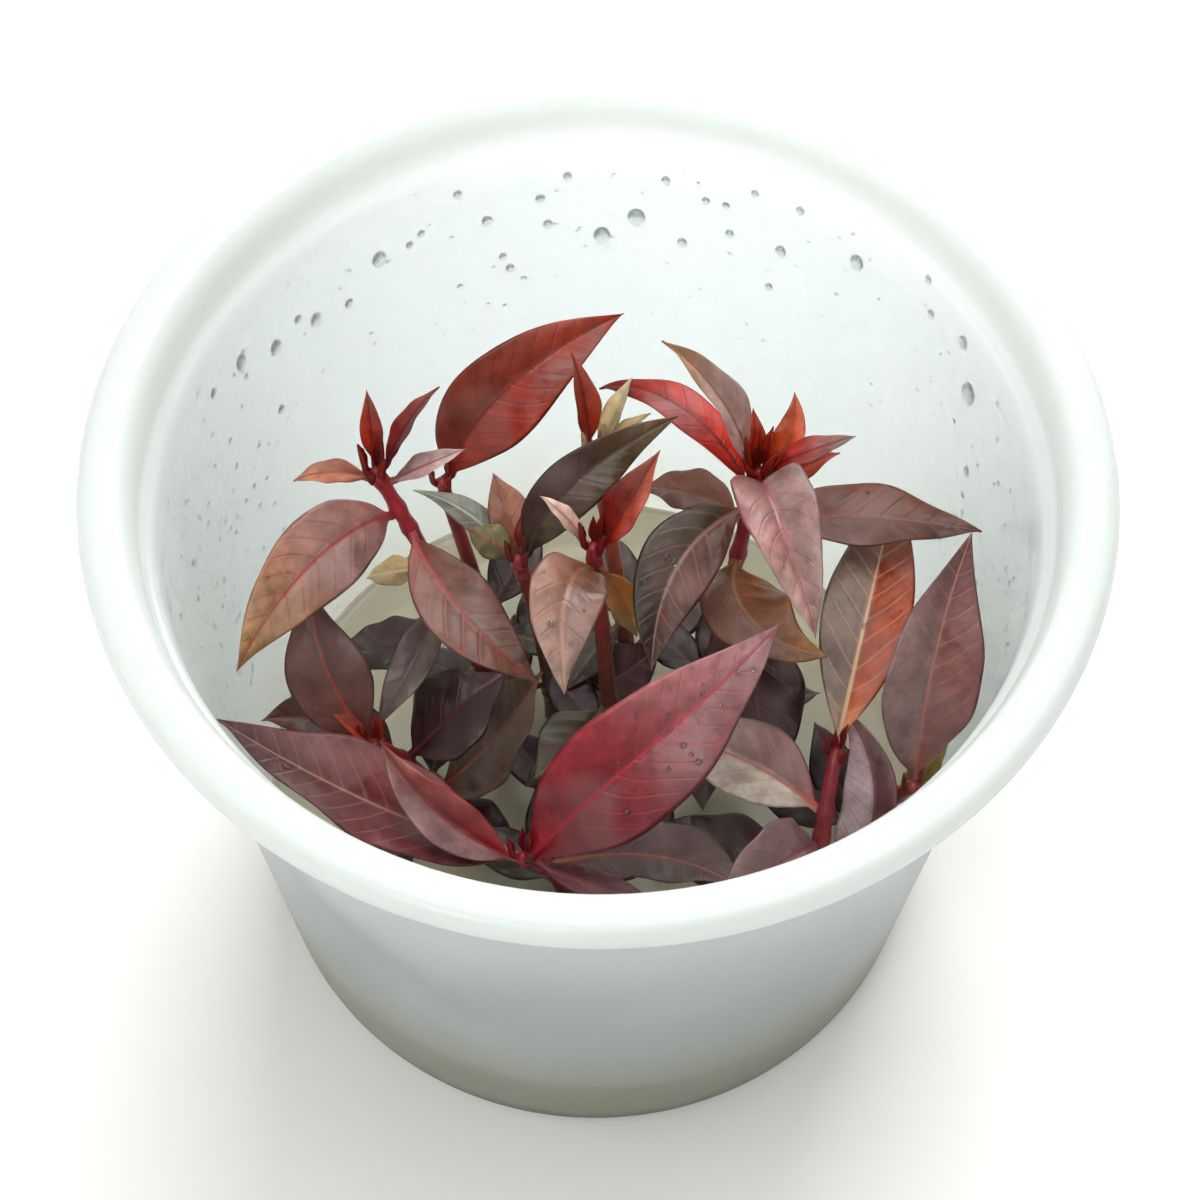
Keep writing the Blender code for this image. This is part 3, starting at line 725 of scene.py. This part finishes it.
def dressed(place_name, leaf, seed, chance, inset=0, rows=LEAF_ROWS,
            half_steps=LEAF_ACROSS // 2):
    """One leaf of a stem: its tube, and the layers that its skin reads. The inset brings its
    foot closer to the stem."""
    foot, crown, bow = STEMS[place_name][:3]
    points, blade_mm, blade_share = leaf_tube(
        stem_middle(foot, crown, bow, leaf[0]), stem_girth(crown, leaf[0]) - inset, leaf,
        seed, rows, half_steps)
    codes = leaf[9].split()
    tint = leaf_tint(blade_share, blade_mm[..., 2], codes, chance)
    return points, {"blade_mm": blade_mm, "blade_share": blade_share, "tint": tint,
                    "rib_tint": np.array(linear(codes[3])) * np.ones(tint.shape)}


skins = {}
for place_name, leaves in LEAVES.items():
    stem(place_name, [leaf[0] for leaf in leaves])
    for number, leaf in enumerate(leaves, start=1):
        seed = 100 * len(place_name) + 7 * number + int(10 * leaf[2])
        points, layers = dressed(place_name, leaf, seed, np.random.default_rng(seed))
        skins[f"{place_name}_{number}"] = points
        piece(f"blade_{place_name}_{number}", [points], leaf_skin,
              [f"leaf_{place_name}_{number}"],
              {label: [values] for label, values in layers.items()})

# ---- The youngest leaves
# At each crown the next leaves are still small and stand close round the growing tip,
# brighter and thinner than the grown ones; the rear shoot's have stayed cream.
LEAF_TURN = 137.5   # degrees from each young leaf to the next one round the tip
YOUNG_INSET = 0.6
# Place: how many stand round the tip, how long they are, and their colours
TIPS = {
    "left_back": (5, 5.0, "7A1E28 8A2A2C 9A2E28 5A1A20"),
    "rear_left": (3, 3.5, "A82C30 B03A34 A8302A 8A2024"),
    "rear": (3, 4.0, "B89878 D0C0A0 B8A070 A88A68"),
    "middle": (3, 3.5, "6A4038 7A5040 8A3A2C 5A2A28"),
    "centre": (4, 4.5, "701E20 8A3028 8A2A22 5A1A1C"),
    "right_back": (7, 6.5, "98301E B84A26 A83A20 6A1E20"),
    "right": (3, 3.0, "8A5A48 9A6A50 8A4A38 8A4A40"),
    "right_front": (4, 4.0, "8A2A30 9A3A38 8A2A28 6A2024"),
    "front": (4, 4.5, "8A2032 9A3040 8A2428 6A1820"),
    "left": (4, 4.5, "A0402E B05438 A8442A 8A2A24"),
}
# Place: leaflets that lean out further, as leaves are listed
LEAFLETS = {
    "rear": [(57.0, 48, 9.0, 2.6, 66, -20, 0, 15, 0, "C4B48C DCD4B4 B8A070 C8BC98"),
             (56.6, 15, 7.5, 2.4, 56, -20, 0, 15, 0, "B8A078 D8C8A0 B8A070 C8BC98")],
    "right_back": [(59.2, 8, 9.5, 4.6, 46, -25, 0, 12, 0, "B8481E C4602A C8581E 8A3018"),
                   (60.8, 100, 7.5, 2.8, 70, -15, 0, 15, 0, "A8341E BC5028 A83A20 7A2018")],
    "left": [(41.8, 205, 9.0, 3.6, 80, -22, -30, 12, 0, "B04A36 B85A40 A8442A 8A2A24")],
    "middle": [(52.6, 70, 6.0, 2.2, 68, -20, 0, 12, 0, "7A2426 8A3A2C 8A2A22 5A1A1C")],
}


def spray(name, place_name, leaves, inset, rows, half_steps):
    """Small leaves of one stem as one piece, their feet brought closer by the inset."""
    chance = np.random.default_rng(len(place_name) + len(leaves))
    tubes, layers = [], {}
    for leaf in leaves:
        points, made = dressed(place_name, leaf, int(leaf[1]) % 97, chance, inset, rows,
                               half_steps)
        tubes.append(points)
        for label, values in made.items():
            layers.setdefault(label, []).append(values)
    piece(name + place_name, tubes, leaf_skin, layers=layers)


# Each young leaf starts lower, is shorter and leans out further than the one before
for place_name, (count, size, codes) in TIPS.items():
    crown_height = STEMS[place_name][1][2]
    young = [(crown_height - 0.25 - 0.2 * k, LEAF_TURN * k + 40, size * (1.05 - 0.07 * k),
              0.30 * size, 82 - 3.5 * k, 8, 0, 24, 0, codes) for k in range(count)]
    spray("young_leaves_", place_name, young + LEAFLETS.get(place_name, []), YOUNG_INSET,
          rows=18, half_steps=4)

# ---- The oldest leaves
# Low on each stem a few first leaves are left, small, dull and dark; they hang over the
# jelly in the shade of the grown ones, and five longer ones reach for the wall.
OLD_COLOURS = ("3E2822 4A3426 4A2A1E 5E3830", "3A1E22 442426 46201E 5A262E",
               "403C24 4C462C 403A20 6A5A3C", "46302A 563C2E 4C2C20 6A3E32")
# Place: height, toward, long, wide and rise of each
OLD_LEAVES = {
    "rear_left": [(26, 120, 10, 5.5, 15), (29, 60, 12, 6, 20), (27, -20, 8, 4.5, 10)],
    "middle": [(24, 100, 11, 5.5, 15), (28, -60, 10, 5.5, 5), (22, 200, 9, 5, 10)],
    "rear": [(24, 35, 12, 6, 15), (27, 95, 12, 6, 20), (30, -130, 9, 5, 0),
             (26, 150, 11, 5.5, 15)],
    "right_back": [(27, 75, 12, 6, 20), (25, 40, 12, 6, 20), (23, 5, 12, 6, 15),
                   (22, -60, 11, 6, 15), (25, -95, 12, 6, 5), (28, 130, 11, 5.5, 10)],
    "centre": [(22, -30, 11, 6, 15), (20, -60, 12, 6, 10), (24, -150, 10, 5.5, 10),
               (26, 130, 8, 5, 0)],
    "front": [(22, 100, 11, 6, 20), (25, 15, 11, 5.5, 5), (22, 150, 11, 6, 15),
              (21, 55, 12, 6, 15), (19, 222, 19, 4.5, -2), (19, 248, 17, 4.5, -2),
              (19, 275, 18, 4.5, -2)],
    "left": [(22, 80, 12, 6, 25), (20, -40, 11, 6, 10), (19, 240, 19, 4.5, -2)],
    "right": [(22, 155, 12, 6, 15), (21, 105, 12, 6, 25), (19, 262, 14, 4.5, -2)],
    "right_front": [(22, 100, 12, 6, 20), (24, 145, 12, 6, 15)],
    "left_back": [(24, 80, 11, 5.5, 15), (22, -60, 11, 6, 15), (27, 150, 10, 5.5, 10)],
}
OLD_BEND, OLD_SWEEP, OLD_FOLD = -20, 8, 6
for place_name, leaves in OLD_LEAVES.items():
    old = [(*leaf, OLD_BEND, OLD_SWEEP, OLD_FOLD, 0, OLD_COLOURS[k % len(OLD_COLOURS)])
           for k, leaf in enumerate(leaves)]
    spray("old_leaves_", place_name, old, 0, rows=24, half_steps=5)

# ---- The roots
# Fine white roots spread from the foot of each stem through the jelly, and a few brown
# ones grow in the air from the joints low on the stems and bend down into it.
ROOT_ROWS = 26
ROOT_AROUND = 7
ROOTS_EACH = 6
ROOT_START = 8
ROOT_FALL = 5.2
ROOT_HALF = 0.2
AIR_ROOT_HALF = 0.24
AIR_ROOT_FORWARD = 0.59
AIR_ROOT_END = 9
# Place: height of its joint, toward and reach of each root in the air
AIR_ROOTS = (
    ("left_back", 33, 190, 9.0), ("left_back", 30, 215, 7.0), ("middle", 26, 200, 8.0),
    ("centre", 27, 250, 6.0), ("right_back", 30, 300, 7.0), ("left", 26, 60, 7.0))

root_skin, tree, out = new_material("fine_root")
place = add(tree, "ShaderNodeTexCoord").outputs["Object"]
skin = add(tree, "ShaderNodeAttribute", attribute_name="tint").outputs["Color"]
fuzz = noise(tree, place, 3000.0)
shader = add(tree, "ShaderNodeBsdfPrincipled", {
    "Base Color": scaled(tree, skin, ranged(tree, fuzz, 0.8, 1.15)), "Roughness": 0.6,
    "Normal": bumped(tree, fuzz, 0.4, 0.0001)})
tree.links.new(shader.outputs[0], out.inputs["Surface"])

chance = np.random.default_rng(11)
t = np.linspace(0, 1, ROOT_ROWS)
tubes, tints = [], []
for foot, *_ in STEMS.values():
    for turn in np.arange(ROOTS_EACH) * 60 + chance.uniform(0, 60):
        reach, wave = chance.uniform(4, 9), chance.uniform(0, 6, 2)
        heading = math.radians(turn) + 0.5 * np.sin(3 * t + wave[0])
        out_x = foot[0] + reach * t * np.cos(heading)
        out_y = foot[1] + reach * t * np.sin(heading)
        # Held off the wall, and sinking through the jelly with a slow wave
        hold = np.minimum(1, (wall_radius(3) - 5) / np.hypot(out_x, out_y))
        sink = ROOT_START - ROOT_FALL * t ** 0.7 + 0.4 * np.sin(9 * t + wave[1])
        tubes.append(carried(np.stack([out_x * hold, out_y * hold, sink], -1),
                             ROOT_HALF - 0.12 * t, ROOT_AROUND))
        tints.append(blended(np.repeat(t[:, None], ROOT_AROUND, 1), "B8A07A", "E4DCC4"))
for place_name, height, toward, reach in AIR_ROOTS:
    foot, crown, bow = STEMS[place_name][:3]
    begin = stem_middle(foot, crown, bow, height)
    heading = math.radians(toward)
    away = reach * t ** 0.8
    path = np.stack([
        begin[0] + away * math.cos(heading) + 0.3 * np.sin(8 * t),
        begin[1] + away * math.sin(heading) + 0.3 * np.sin(7 * t + 2) - AIR_ROOT_FORWARD,
        height - (height - AIR_ROOT_END) * t ** 1.6], -1)
    tubes.append(carried(path, AIR_ROOT_HALF - 0.1 * t, ROOT_AROUND))
    tints.append(blended(np.repeat(t[:, None], ROOT_AROUND, 1), "9A7A3A", "C8B478"))
piece("roots", tubes, root_skin, layers={"tint": tints})

# ---- The dew
# Water that has condensed out of the damp air: beads on the far wall, flattened where
# they cling and drawn down a little where they are heavy, very fine ones at the sides,
# and small round beads on the blades, most of them on the large crimson one.
HEAVY_BEAD = 0.8
DRAWN_DOWN = 1.35

dew, tree, out = new_material("dew_water")
place = add(tree, "ShaderNodeTexCoord").outputs["Object"]
shader = add(tree, "ShaderNodeBsdfPrincipled", {
    "Base Color": linear("F2F6F8"), "IOR": 1.333, "Transmission Weight": 1.0,
    "Roughness": ranged(tree, noise(tree, place, 900.0), 0.01, 0.05)})
tree.links.new(shader.outputs[0], out.inputs["Surface"])


def bead(centre, normal, upward, width, long, rows, around):
    """A clinging drop: rings of a dome of radius cos(f) / 2 and height 0.3 sin(f) of its
    width for f from -12 to 89 degrees, longer along the upward way and fuller below."""
    rise = np.radians(np.linspace(-12, 89, rows))[:, None, None]
    angle = np.linspace(0, 2 * np.pi, around, endpoint=False)[None, :, None]
    side = unit(np.cross(upward, normal))
    length = np.cross(normal, side)
    sag = 1 + 0.25 * np.cos(angle + np.pi) * (np.sin(rise) > 0)
    return (np.asarray(centre) + np.cos(rise) * 0.5 * (side * np.sin(-angle) * width
                                                        + length * np.cos(angle) * long * sag)
            + normal * np.sin(rise) * 0.3 * width)


# Angle round the cup, height and width of each of the larger beads on the wall
WALL_BEADS = [
    (111, 70, 1.0), (99, 67, 1.1), (95, 70, 1.0), (81, 70, 1.0), (107, 65, 1.2), (98, 63, 1.1),
    (90, 61, 1.9), (85, 64, 2.0), (78, 61, 1.1), (75, 68, 0.9), (72, 68, 0.9), (68, 71, 0.9),
    (61, 71, 1.0), (63, 64, 1.3), (71, 64, 1.0), (117, 66, 0.9), (119, 65, 0.9), (124, 65, 1.7),
    (130, 61, 1.1), (136, 62, 1.5), (139, 64, 1.0), (144, 63, 1.6), (151, 66, 1.6), (158, 67, 1.0),
    (146, 54, 1.0), (105, 59, 0.9), (104, 57, 1.0), (102, 55, 0.8), (112, 56, 0.8), (51, 68, 1.7),
    (39, 73, 0.9), (37, 69, 1.0), (30, 70, 1.4), (26, 65, 2.2), (21, 56, 1.1), (64, 58, 0.9)]
SIDE_FINE = 170   # very fine beads on each side of the wall,
BACK_FINE = 90    # and at its back
chance = np.random.default_rng(5)
fine = list(zip(
    np.concatenate([chance.uniform(150, 205, SIDE_FINE), chance.uniform(-25, 22, SIDE_FINE),
                    chance.uniform(22, 150, BACK_FINE)]),
    np.concatenate([chance.uniform(28, 70, 2 * SIDE_FINE), chance.uniform(48, 72, BACK_FINE)]),
    np.concatenate([chance.uniform(0.3, 0.8, 2 * SIDE_FINE),
                    chance.uniform(0.25, 0.5, BACK_FINE)])))
tubes = []
for around_cup, height, width in WALL_BEADS + fine:
    heading = math.radians(around_cup)
    radius = wall_radius(height) - WALL
    inward = np.array([-math.cos(heading), -math.sin(heading), 0.0])
    long = width * (DRAWN_DOWN if width > HEAVY_BEAD else 1.0)
    rings = (7, 14) if width > HEAVY_BEAD else (4, 8)
    tubes.append(bead(-inward * radius + np.array([0, 0, height]), inward,
                      np.array([0.0, 0, 1]), width, long, *rings))
piece("wall_dew", tubes, dew)

# Blade, and how many beads between which shares of its length
LEAF_BEADS = [("front_1", 26, 0.35, 0.95), ("centre_3", 5, 0.3, 0.8),
              ("right_back_5", 5, 0.4, 0.9), ("right_back_6", 5, 0.4, 0.8),
              ("right_1", 4, 0.3, 0.8), ("right_back_8", 4, 0.2, 0.8),
              ("right_front_1", 4, 0.3, 0.8), ("left_back_5", 3, 0.4, 0.9),
              ("front_2", 4, 0.2, 0.8)]
tubes = []
for blade, count, low, high in LEAF_BEADS:
    skin_points = skins[blade]
    for _ in range(count):
        row = STALK_ROWS + int(chance.uniform(low, high) * LEAF_ROWS)
        column = int(chance.integers(3, LEAF_ACROSS - 2))
        here = skin_points[row, column]
        normal = unit(np.cross(skin_points[row + 1, column] - here,
                               here - skin_points[row, column + 1]))
        normal = normal if normal @ np.array([0, -0.4, 1]) > 0 else -normal
        width = chance.uniform(0.35, 0.8)
        tubes.append(bead(here, normal, skin_points[row + 1, column] - here, width, width, 6, 10))
piece("leaf_dew", tubes, dew)
